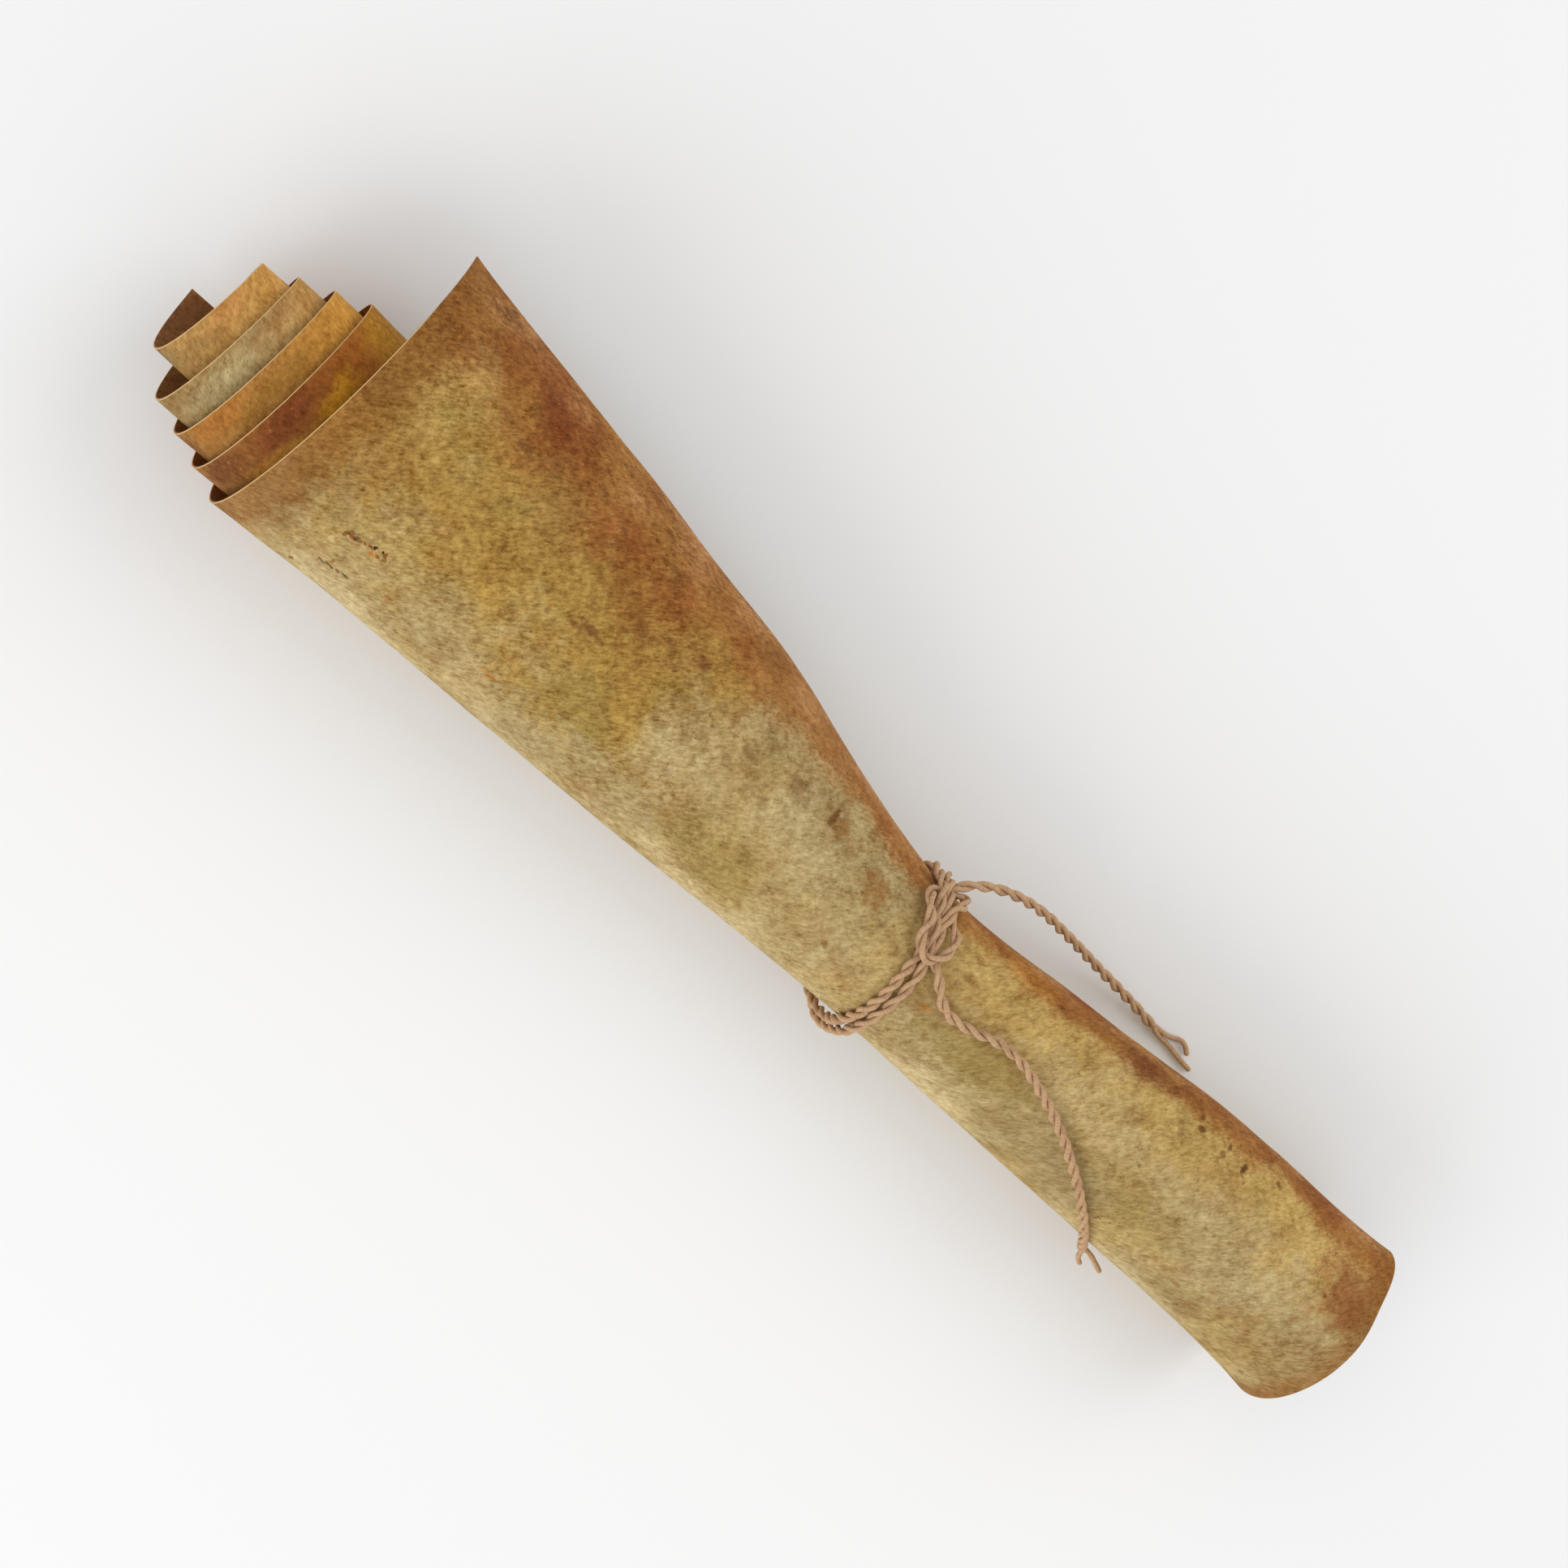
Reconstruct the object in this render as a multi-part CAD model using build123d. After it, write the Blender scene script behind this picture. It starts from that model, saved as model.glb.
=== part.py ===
"""A sheet of old parchment, rolled up, pulled in at the waist and tied there with twine.

Millimetres, +Z up. The roll lies on its side along X, with its open mouth at -X and its foot at +X.
The sheet is a spiral wall: it starts at the free long edge on the +Y side, and winds over the top and
inward. Its turns have slipped along the roll, so that the inner ones stand out of the mouth.
"""

from build123d import *
import os
from math import cos, exp, log, pi, radians, sin, tan

# Sheet: the edge that lies along the roll, the thickness and the winding
SHEET_WIDTH = 300.0
PAPER = 0.45
TURNS = 4.8
TURN_SLIP = 6.96
WIND_SKEW = 0.6

# Outer turn, measured half a turn in from the free edge: a tapered body that flares at both ends
BODY_RADIUS_MOUTH = 23.66
BODY_RADIUS_FOOT = 19.46
MOUTH_FLARE = 2.1
MOUTH_FLARE_LENGTH = 30.0
FOOT_FLARE = 2.9
FOOT_FLARE_LENGTH = 21.0

# Room that one turn takes, at the mouth, in the body and at the foot
PITCH_MOUTH = 2.74
PITCH_BODY = 1.25
PITCH_FOOT = 1.8
PITCH_END_LENGTH = 55.0

# Waist: where the twine pulls the roll in, and a little to one side
WAIST_X = 168.0
WAIST_DEPTH = 3.9
WAIST_LENGTH = 50.0
WAIST_SHIFT = 2.1

# Free half turn: its lift off the roll at places along the free edge, and how the lifted corner draws back
FLAP_LIFT = [
    (0, 18.4), (56, 13.2), (80, 9.7), (107, 7.0), (134, 2.7),
    (162, -0.1), (180, -0.3), (198, 0.1), (262, 0.6), (300, 0.0),
]
FLAP_TURN = 0.5
FLAP_SHARPNESS = 2.2
FLAP_DRAW = 2.0

# Innermost turn: it curls tighter than the rest, up to a short way from its end
CORE_CURL = 4.6
CORE_CURL_TURN = 0.52
CORE_END_TURN = 0.25

# Underside: how far the roll's own weight presses each end in, how near to level the pressed part is
# (1 is level), how softly it begins, and the fibres worn away level with the floor
MOUTH_PRESS = 1.2
FOOT_PRESS = 1.2
PRESS_LEVEL = 0.75
PRESS_SOFTNESS = 0.03
FLAT_TRIM = 0.15

# Dents through all the turns: depth, angle round the roll, spread in degrees, place and length along X
FOOT_DENT = (3.3, 50.0, 32.0, SHEET_WIDTH + 2.0, 34.0)
SIDE_FOLD = (0.8, 118.0, 17.0, 225.0, 38.0)
EDGE_DENT = (0.8, 0.0, 28.0, 224.0, 18.0)
DENTS = [FOOT_DENT, SIDE_FOLD, EDGE_DENT]

# Twine: two slack turns round the waist, a knot on the upper right and two free tails. Angles are degrees
# round the roll from the free edge, and each bend takes up the arc share of the shorter run beside it.
TWINE = 2.2
CLEARANCE = 0.3
TURN_MOUTH_X = 161.8
TURN_SPACING = 2.6
TURN_SLANT = 1.9
TURN_SLANT_ANGLE = 110.0
TURN_SLACK = 4.2
TURN_SLACK_ANGLE = 226.0
TURN_SLACK_SPREAD = 26.0
TURN_STEPS = 12
FREE_EDGE_CLIMB = 300.0
ARC_SHARE = 0.45
KNOT_X = 163.0
KNOT_WIDTH = 10.5
KNOT_THICK = 4.4
KNOT_FROM, KNOT_TO = 24.0, 77.0
FLOOR_TAIL = [
    (163.6, 18.6, 29.6), (168.0, 22.4, 29.1), (176.3, 24.9, 25.3), (191.0, 26.2, 16.4),
    (208.8, 25.6, 6.8), (222.8, 25.0, 1.6), (233.4, 24.2, 1.4), (242.6, 23.4, 1.5),
]
FRONT_TAIL = [
    (169.2, 2.6, 42.0), (171.4, -1.0, 41.5), (176.1, -3.9, 41.3), (182.4, -3.1, 41.5),
    (189.5, -0.5, 41.7), (197.0, -0.8, 42.1), (207.2, -3.8, 42.3), (216.0, -7.4, 41.5),
    (225.4, -12.5, 39.3), (233.9, -17.8, 35.1), (239.0, -21.0, 29.8), (243.8, -22.6, 22.4),
    (248.2, -23.6, 16.8), (251.9, -24.6, 12.6),
]

# Surface grid that the sheet's two faces are drawn through
GRID_PER_TURN = 40
GRID_ALONG = 40
GRID_TOLERANCE = 0.02


def through(stations, x):
    """Height at x of a smooth curve through the stations, level beyond the first and the last."""
    if x <= stations[0][0]:
        return stations[0][1]
    if x >= stations[-1][0]:
        return stations[-1][1]

    def slope(k):
        before, after = stations[max(k - 1, 0)], stations[min(k + 1, len(stations) - 1)]
        return (after[1] - before[1]) / (after[0] - before[0])

    i = max(k for k, (start, _) in enumerate(stations) if start < x)
    (x0, y0), (x1, y1) = stations[i], stations[i + 1]
    run = x1 - x0
    t = (x - x0) / run
    ends = y0 * (1 + 2 * t) * (1 - t) ** 2 + y1 * t * t * (3 - 2 * t)
    return ends + run * t * (1 - t) * (slope(i) * (1 - t) - slope(i + 1) * t)


def waist(x):
    return exp(-(((x - WAIST_X) / WAIST_LENGTH) ** 2))


def axis_y(x):
    return -WAIST_SHIFT * waist(x)


def freedom(wind):
    """1 at the free long edge, 0 where the sheet lies on the roll."""
    return max(0.0, 1 - wind / (2 * pi * FLAP_TURN))


def round_radius(wind, along, x):
    """Distance of the sheet's outer face from the roll's axis, wind radians in from the free edge."""
    turns = wind / (2 * pi)
    to_foot = SHEET_WIDTH - along
    flare = MOUTH_FLARE * exp(-along / MOUTH_FLARE_LENGTH) + FOOT_FLARE * exp(-to_foot / FOOT_FLARE_LENGTH)
    pitch = PITCH_BODY
    pitch += (PITCH_MOUTH - PITCH_BODY) * exp(-along / PITCH_END_LENGTH)
    pitch += (PITCH_FOOT - PITCH_BODY) * exp(-to_foot / PITCH_END_LENGTH)
    body = BODY_RADIUS_MOUTH + (BODY_RADIUS_FOOT - BODY_RADIUS_MOUTH) * along / SHEET_WIDTH
    out = body + flare - WAIST_DEPTH * waist(x) - pitch * (turns - 0.5)

    out += through(FLAP_LIFT, x) * freedom(wind) ** FLAP_SHARPNESS
    curl = (turns - TURNS + CORE_END_TURN + CORE_CURL_TURN) / CORE_CURL_TURN
    curl = min(1.0, max(0.0, curl))
    out -= CORE_CURL * curl * curl * (3 - 2 * curl)
    for depth, angle, spread, middle, length in DENTS:
        aside = (wind * 180 / pi - angle + 180) % 360 - 180
        out -= depth * exp(-((aside / spread) ** 2) - ((x - middle) / length) ** 2)
    return out


def sheet_x(wind, along):
    drawn = FLAP_DRAW * freedom(wind) ** 3 * (1 - along / SHEET_WIDTH) ** 2
    return along - TURN_SLIP * wind / (2 * pi) + WIND_SKEW * cos(wind) + drawn


UNDERSIDE = 1.5 * pi
MOUTH_REST_X = sheet_x(UNDERSIDE, 0)
FOOT_REST_X = sheet_x(UNDERSIDE, SHEET_WIDTH)


def between_rests(at_mouth, at_foot, x):
    return at_mouth + (at_foot - at_mouth) * (x - MOUTH_REST_X) / (FOOT_REST_X - MOUTH_REST_X)


def pressed_level(x):
    """Depth under the axis to which the floor lets the outer turn reach."""
    at_mouth = round_radius(UNDERSIDE, 0, MOUTH_REST_X) - MOUTH_PRESS
    at_foot = round_radius(UNDERSIDE, SHEET_WIDTH, FOOT_REST_X) - FOOT_PRESS
    return between_rests(at_mouth, at_foot, x)


def radius(wind, along, x):
    """The same distance with the underside of every turn flattened as the floor flattens the outer one."""
    out = round_radius(wind, along, x)
    down = -sin(wind)
    if down <= 0:
        return out
    outer_along = min(SHEET_WIDTH, max(0.0, x - MOUTH_REST_X))
    level = pressed_level(x) / round_radius(UNDERSIDE, outer_along, x) / down**PRESS_LEVEL
    return out * (1 - PRESS_SOFTNESS * log(1 + exp((1 - level) / PRESS_SOFTNESS)))


def axis_z(x):
    """Height of the axis over the floor."""
    at_mouth = radius(UNDERSIDE, 0, MOUTH_REST_X)
    at_foot = radius(UNDERSIDE, SHEET_WIDTH, FOOT_REST_X)
    return between_rests(at_mouth, at_foot, x) - FLAT_TRIM


def sheet_point(wind, along, depth=0.0):
    """Point of the sheet, depth under its outer face."""
    x = sheet_x(wind, along)
    out = radius(wind, along, x) - depth
    return x, axis_y(x) + out * cos(wind), axis_z(x) + out * sin(wind)


def sheet_face(depth):
    rows = round(TURNS * GRID_PER_TURN) + 1
    winds = [2 * pi * TURNS * i / (rows - 1) for i in range(rows)]
    alongs = [SHEET_WIDTH * j / (GRID_ALONG - 1) for j in range(GRID_ALONG)]
    grid = [[sheet_point(wind, along, depth) for along in alongs] for wind in winds]
    return Face.make_surface_from_array_of_points(grid, tol=GRID_TOLERANCE, min_deg=3, max_deg=3)


def rolled_sheet():
    """The outer and the inner face, closed by a narrow face along each edge, flat where it lies."""
    outer, inner = sheet_face(0), sheet_face(PAPER)
    edges = [
        Face.make_surface_from_curves(edge, inner.edges().sort_by_distance(edge @ 0.5)[0])
        for edge in outer.edges()
    ]
    solid = Solid(Shell([outer, inner, *edges]))
    reach = 2 * SHEET_WIDTH
    return solid - Pos(0, 0, -reach / 2) * Box(2 * reach, reach, reach)


def outside(angle, x):
    """Outside of the roll at x, angle radians round from the free edge, which the twine rides up on to."""
    wind = angle % (2 * pi)
    climb_from = radians(FREE_EDGE_CLIMB)
    climb = max(0.0, (angle - climb_from) / (2 * pi - climb_from)) if angle < 2 * pi else 0.0
    step = radius(0, x, x) - radius(2 * pi, x + TURN_SLIP, x)
    return radius(wind, x + TURN_SLIP * wind / (2 * pi), x) + step * climb


def twine_turn_points(x_middle):
    """One turn round the waist, from just past the knot's lower end to just before its upper end."""
    gap = 2 * CLEARANCE / outside(0, x_middle)
    start, end = radians(KNOT_TO) + gap, 2 * pi + radians(KNOT_FROM) - gap
    step = (end - start) / (TURN_STEPS - 1)
    points = []
    for k in range(TURN_STEPS):
        angle = start + step * k
        x = x_middle + TURN_SLANT * cos(angle - radians(TURN_SLANT_ANGLE))
        aside = (angle * 180 / pi - TURN_SLACK_ANGLE) / TURN_SLACK_SPREAD
        out = (outside(angle, x) + CLEARANCE + TWINE / 2) / cos(step / 2) + TURN_SLACK * exp(-aside * aside)
        points.append((x, axis_y(x) + out * cos(angle), axis_z(x) + out * sin(angle)))
    return points


def tube(name, points):
    """Twine along straight runs joined by arcs, each as large as its two runs allow."""
    places = [Vector(p) for p in points]
    runs = [b - a for a, b in zip(places, places[1:])]
    radii = []
    for before, after in zip(runs, runs[1:]):
        half_turn = radians(before.get_angle(after)) / 2
        radii.append(ARC_SHARE * min(before.length, after.length) / tan(half_turn))
    path = FilletPolyline(*places, radius=radii)
    section = Plane(origin=path @ 0, z_dir=path % 0) * Circle(TWINE / 2)
    cord = sweep(section, path=path)
    expected = pi * TWINE**2 / 4 * path.length
    print(f"{name}: length {path.length:.1f}, volume {cord.volume:.1f} for {expected:.1f}")
    print("  radii", [round(r, 1) for r in radii], "runs", [round(run.length, 1) for run in runs])
    return cord


def twine_knot():
    """Outer shape of the knot, bent round the roll."""
    centre = Vector(KNOT_X, axis_y(KNOT_X), axis_z(KNOT_X))
    out = outside(radians(KNOT_FROM), KNOT_X) + CLEARANCE + KNOT_THICK / 2
    aim = Vector(0, cos(radians(KNOT_FROM)), sin(radians(KNOT_FROM)))
    section = Plane(origin=centre + aim * out, x_dir=(1, 0, 0), z_dir=Vector(1, 0, 0).cross(aim))
    oval = section * Ellipse(KNOT_WIDTH / 2, KNOT_THICK / 2)
    return revolve(oval, axis=Axis(centre, (1, 0, 0)), revolution_arc=KNOT_TO - KNOT_FROM)


sheet = rolled_sheet()
nodes = {
    "paper_sheet": sheet,
    "twine_turn_mouth_side": tube("turn on the mouth side", twine_turn_points(TURN_MOUTH_X)),
    "twine_turn_foot_side": tube("turn on the foot side", twine_turn_points(TURN_MOUTH_X + TURN_SPACING)),
    "twine_knot": twine_knot(),
    "twine_tail_floor": tube("tail on the floor", FLOOR_TAIL),
    "twine_tail_front": tube("tail over the roll", FRONT_TAIL),
}

# The middle of the sheet's box stands over the origin
box = sheet.bounding_box()
placing = Pos(-box.center().X, -box.center().Y, 0)
print("roll moved by", placing.position)

os.makedirs("parts", exist_ok=True)
for name, solid in nodes.items():
    export_step(placing * solid, f"parts/{name}.step")
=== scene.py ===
import math

import bpy
import numpy as np
from mathutils import Matrix


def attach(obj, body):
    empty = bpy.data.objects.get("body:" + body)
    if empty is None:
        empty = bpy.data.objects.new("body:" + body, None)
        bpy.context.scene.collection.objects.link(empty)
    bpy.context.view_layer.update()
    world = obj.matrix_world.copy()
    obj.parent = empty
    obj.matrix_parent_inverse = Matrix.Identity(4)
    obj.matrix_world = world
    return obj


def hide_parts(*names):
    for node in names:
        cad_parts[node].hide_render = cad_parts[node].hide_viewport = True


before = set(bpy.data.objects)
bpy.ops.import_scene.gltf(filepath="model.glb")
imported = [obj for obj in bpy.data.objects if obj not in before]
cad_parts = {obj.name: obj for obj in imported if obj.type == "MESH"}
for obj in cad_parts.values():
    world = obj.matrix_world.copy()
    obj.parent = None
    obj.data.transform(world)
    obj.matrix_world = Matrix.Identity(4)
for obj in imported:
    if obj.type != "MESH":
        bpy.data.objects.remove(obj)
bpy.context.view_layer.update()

# The sheet. One piece of heavy old paper, rolled up nearly five turns from a loose free edge on the right.
# Nothing holds the turns to each other, so they have slipped along the roll, and the inner ones stand out
# of the mouth. The twine pulls the roll in at its waist, and its own weight flattens it where it lies.
# Sizes are in mm and turns. A dent has a depth, an angle and a spread in degrees, a middle and a length.
SHEET_WIDTH, PAPER, TURNS, TURN_SLIP, WIND_SKEW = 300.0, 0.45, 4.8, 6.96, 0.6
BODY_RADIUS_MOUTH, BODY_RADIUS_FOOT = 23.66, 19.46
MOUTH_FLARE, MOUTH_FLARE_LENGTH, FOOT_FLARE, FOOT_FLARE_LENGTH = 2.1, 30.0, 2.9, 21.0
PITCH_MOUTH, PITCH_BODY, PITCH_FOOT, PITCH_END_LENGTH = 2.74, 1.25, 1.8, 55.0
WAIST_X, WAIST_DEPTH, WAIST_LENGTH, WAIST_SHIFT = 168.0, 3.9, 50.0, 2.1
FLAP_PLACES = (0, 56, 80, 107, 134, 162, 180, 198, 262, 300)
FLAP_LIFT = (18.4, 13.2, 9.7, 7.0, 2.7, -0.1, -0.3, 0.1, 0.6, 0.0)
FLAP_TURN, FLAP_SHARPNESS, FLAP_DRAW = 0.5, 2.2, 2.0
CORE_CURL, CORE_CURL_TURN, CORE_END_TURN = 4.6, 0.52, 0.25
MOUTH_PRESS, FOOT_PRESS, PRESS_LEVEL, PRESS_SOFTNESS, FLAT_TRIM = 1.2, 1.2, 0.75, 0.03, 0.15
DENTS = (
    (3.3, 50.0, 32.0, 302.0, 34.0), (0.8, 118.0, 17.0, 225.0, 38.0), (0.8, 0.0, 28.0, 224.0, 18.0),
)
TWINE_X, PUCKER, PUCKER_REACH = 164.0, 0.30, 13.0
FOLD_DEPTH, FOLD_HALF_WIDTH, FOLD_HALF_LENGTH = 0.45, 5, 30
FOLD_FROM_EDGE, FOLD_FROM_MOUTH, FOLD_SLANT, FOLD_MIDDLE = 31, 186, 0.25, 216
FINE_TURNS, FINE_ROWS, OTHER_ROWS, COLUMNS, END_CROWDING = 1.25, 140, 158, 150, 0.35
ROLL_TO_ROW = np.array((-133.689, -9.763, 0.0))
TURN = 2 * math.pi
UNDERSIDE = 0.75 * TURN


def flap_lift(x):
    """Lift of the free edge off the roll, a smooth curve through the measured places."""
    places, lifts = np.array(FLAP_PLACES, float), np.array(FLAP_LIFT)
    before, after = np.r_[0, range(len(places) - 1)], np.r_[range(1, len(places)), len(places) - 1]
    slopes = (lifts[after] - lifts[before]) / (places[after] - places[before])
    x = np.clip(x, places[0], places[-1])
    i = np.clip(np.searchsorted(places, x, side="left") - 1, 0, len(places) - 2)
    run = places[i + 1] - places[i]
    t = (x - places[i]) / run
    ends = lifts[i] * (1 + 2 * t) * (1 - t) ** 2 + lifts[i + 1] * t * t * (3 - 2 * t)
    return ends + run * t * (1 - t) * (slopes[i] * (1 - t) - slopes[i + 1] * t)


def waist(x):
    return np.exp(-(((x - WAIST_X) / WAIST_LENGTH) ** 2))


def freedom(wind):
    return np.maximum(0.0, 1 - wind / (TURN * FLAP_TURN))


def round_radius(wind, along, x):
    """Distance of the outer face from the roll's axis, before the floor presses on it."""
    turns = wind / TURN
    to_foot = SHEET_WIDTH - along
    flare = MOUTH_FLARE * np.exp(-along / MOUTH_FLARE_LENGTH)
    flare = flare + FOOT_FLARE * np.exp(-to_foot / FOOT_FLARE_LENGTH)
    pitch = PITCH_BODY + (PITCH_MOUTH - PITCH_BODY) * np.exp(-along / PITCH_END_LENGTH)
    pitch = pitch + (PITCH_FOOT - PITCH_BODY) * np.exp(-to_foot / PITCH_END_LENGTH)
    body = BODY_RADIUS_MOUTH + (BODY_RADIUS_FOOT - BODY_RADIUS_MOUTH) * along / SHEET_WIDTH
    out = body + flare - WAIST_DEPTH * waist(x) - pitch * (turns - 0.5)
    out = out + flap_lift(x) * freedom(wind) ** FLAP_SHARPNESS
    curl = np.clip((turns - TURNS + CORE_END_TURN + CORE_CURL_TURN) / CORE_CURL_TURN, 0, 1)
    out = out - CORE_CURL * curl * curl * (3 - 2 * curl)
    for depth, angle, spread, middle, length in DENTS:
        aside = (np.degrees(wind) - angle + 180) % 360 - 180
        out = out - depth * np.exp(-((aside / spread) ** 2) - ((x - middle) / length) ** 2)
    return out


def sheet_x(wind, along):
    drawn = FLAP_DRAW * freedom(wind) ** 3 * (1 - along / SHEET_WIDTH) ** 2
    return along - TURN_SLIP * wind / TURN + WIND_SKEW * np.cos(wind) + drawn


MOUTH_REST_X, FOOT_REST_X = sheet_x(UNDERSIDE, 0.0), sheet_x(UNDERSIDE, SHEET_WIDTH)


def between_rests(at_mouth, at_foot, x):
    return at_mouth + (at_foot - at_mouth) * (x - MOUTH_REST_X) / (FOOT_REST_X - MOUTH_REST_X)


def radius(wind, along, x):
    """The same distance with the underside of every turn flattened as the floor flattens the outer one."""
    out = round_radius(wind, along, x)
    floor_level = between_rests(
        round_radius(UNDERSIDE, 0.0, MOUTH_REST_X) - MOUTH_PRESS,
        round_radius(UNDERSIDE, SHEET_WIDTH, FOOT_REST_X) - FOOT_PRESS, x)
    outer = round_radius(UNDERSIDE, np.clip(x - MOUTH_REST_X, 0, SHEET_WIDTH), x)
    down = np.maximum(-np.sin(wind), 1e-3)
    level = floor_level / outer / down**PRESS_LEVEL
    pressed = out * (1 - PRESS_SOFTNESS * np.log1p(np.exp(np.clip((1 - level) / PRESS_SOFTNESS, -60, 60))))
    return np.where(np.sin(wind) < 0, pressed, out)


def axis_y(x):
    return -WAIST_SHIFT * waist(x)


def axis_z(x):
    at_mouth = radius(UNDERSIDE, 0.0, MOUTH_REST_X)
    at_foot = radius(UNDERSIDE, SHEET_WIDTH, FOOT_REST_X)
    return between_rests(at_mouth, at_foot, x) - FLAT_TRIM


LUMP_KNOTS = 257


def lumps(u, v, step_u, step_v, seed, around=None):
    """Seeded unevenness from -1 to 1, smooth between knots a step apart, closed after `around` steps."""
    knots = np.random.default_rng(seed).uniform(-1, 1, (LUMP_KNOTS, LUMP_KNOTS))
    fu, fv = np.asarray(u) / step_u, np.asarray(v) / step_v
    i, j = np.floor(fu).astype(int), np.floor(fv).astype(int)
    a, b = fu - i, fv - j
    a, b = a * a * (3 - 2 * a), b * b * (3 - 2 * b)
    turn = around or LUMP_KNOTS
    i0, i1, j0, j1 = i % turn, (i + 1) % turn, j % LUMP_KNOTS, (j + 1) % LUMP_KNOTS
    low = knots[i0, j0] * (1 - a) + knots[i1, j0] * a
    high = knots[i0, j1] * (1 - a) + knots[i1, j1] * a
    return low * (1 - b) + high * b


def unevenness(wind, x, length, along):
    """How far the paper stands off its smooth roll: waves, cockles, puckers by the twine and a fold."""
    angle = np.degrees(wind)
    waves = 0.30 * lumps(angle, x, 72, 46, 3, around=5) + 0.20 * lumps(angle, x, 40, 27, 5, around=9)
    cockles = 0.10 * lumps(length, along, 11, 14, 7) + 0.05 * lumps(length, along, 5, 6, 9)
    puckers = PUCKER * np.exp(-np.abs(x - TWINE_X) / PUCKER_REACH) * lumps(angle, x, 20, 60, 11, around=18)
    off_fold = (length - FOLD_FROM_EDGE - FOLD_SLANT * (along - FOLD_FROM_MOUTH)) / FOLD_HALF_WIDTH
    fold = FOLD_DEPTH * np.exp(-(off_fold**2) - ((along - FOLD_MIDDLE) / FOLD_HALF_LENGTH) ** 2)
    return waves + cockles + puckers - fold


WINDS = TURN * np.r_[
    np.linspace(0, FINE_TURNS, FINE_ROWS, endpoint=False), np.linspace(FINE_TURNS, TURNS, OTHER_ROWS)]


def paper_grid(depth):
    """Rows along the winding and columns along the roll; also each point's place on the flat sheet."""
    share = np.linspace(0, 1, COLUMNS)
    alongs = SHEET_WIDTH * (share - END_CROWDING * np.sin(TURN * share) / TURN)
    wind, along = np.meshgrid(WINDS, alongs, indexing="ij")
    x = sheet_x(wind, along)
    out = radius(wind, along, x)
    steps = np.diff(WINDS)[:, None] * (out[1:] + out[:-1]) / 2
    length = np.concatenate((np.zeros((1, COLUMNS)), np.cumsum(steps, axis=0)))
    out = out + unevenness(wind, x, length, along) - depth
    points = np.stack((x, axis_y(x) + out * np.cos(wind), axis_z(x) + out * np.sin(wind)), axis=-1)
    points[..., 2] = np.maximum(points[..., 2], depth * 0.5)
    place = np.stack((length, along, np.full_like(length, depth / PAPER)), axis=-1)
    return points + ROLL_TO_ROW, place


outer, outer_place = paper_grid(0.0)
inner, inner_place = paper_grid(PAPER)
rows, columns = outer.shape[:2]
number = np.arange(rows * columns).reshape(rows, columns)
outward = np.concatenate((number[:, 0], number[-1, 1:], number[-2::-1, -1], number[0, -2:0:-1]))
rim_middle = (outer.reshape(-1, 3)[outward] + inner.reshape(-1, 3)[outward]) / 2
rim_place = (outer_place.reshape(-1, 3)[outward] + inner_place.reshape(-1, 3)[outward]) / 2
squares = (number[:-1, :-1], number[1:, :-1], number[1:, 1:], number[:-1, 1:])
corners = np.stack(squares, axis=-1).reshape(-1, 4)
rim = np.arange(len(outward)) + 2 * rows * columns
following = np.roll(np.arange(len(outward)), -1)
below = outward + rows * columns
rim_faces = np.concatenate((
    np.stack((outward, outward[following], rim[following], rim), axis=-1),
    np.stack((rim, rim[following], below[following], below), axis=-1)))
faces = np.concatenate((corners[:, ::-1], corners + rows * columns, rim_faces))
sheet_mesh = bpy.data.meshes.new("rolled_paper")
sheet_mesh.from_pydata(
    np.concatenate((outer.reshape(-1, 3), inner.reshape(-1, 3), rim_middle)) / 1000, [], faces.tolist())
all_places = np.concatenate((outer_place.reshape(-1, 3), inner_place.reshape(-1, 3), rim_place))
places = sheet_mesh.attributes.new("sheet_place", "FLOAT_VECTOR", "POINT")
places.data.foreach_set("vector", (all_places * (0.001, 0.001, 1)).ravel())
sheet_mesh.polygons.foreach_set("use_smooth", [True] * len(faces))
sheet_mesh.polygons.foreach_set("material_index", [0] * (2 * len(corners)) + [1] * len(rim_faces))
ends = np.empty(2 * len(sheet_mesh.edges), int)
sheet_mesh.edges.foreach_get("vertices", ends)
on_rim = np.zeros(len(sheet_mesh.vertices), int)
on_rim[outward], on_rim[below] = 1, 2
first, second = on_rim[ends[::2]], on_rim[ends[1::2]]
sharp = sheet_mesh.attributes.new("sharp_edge", "BOOLEAN", "EDGE")
sharp.data.foreach_set("value", (first > 0) & (first == second))
sheet_mesh.validate()
sheet = bpy.data.objects.new("rolled_paper", sheet_mesh)
bpy.context.scene.collection.objects.link(sheet)


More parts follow.
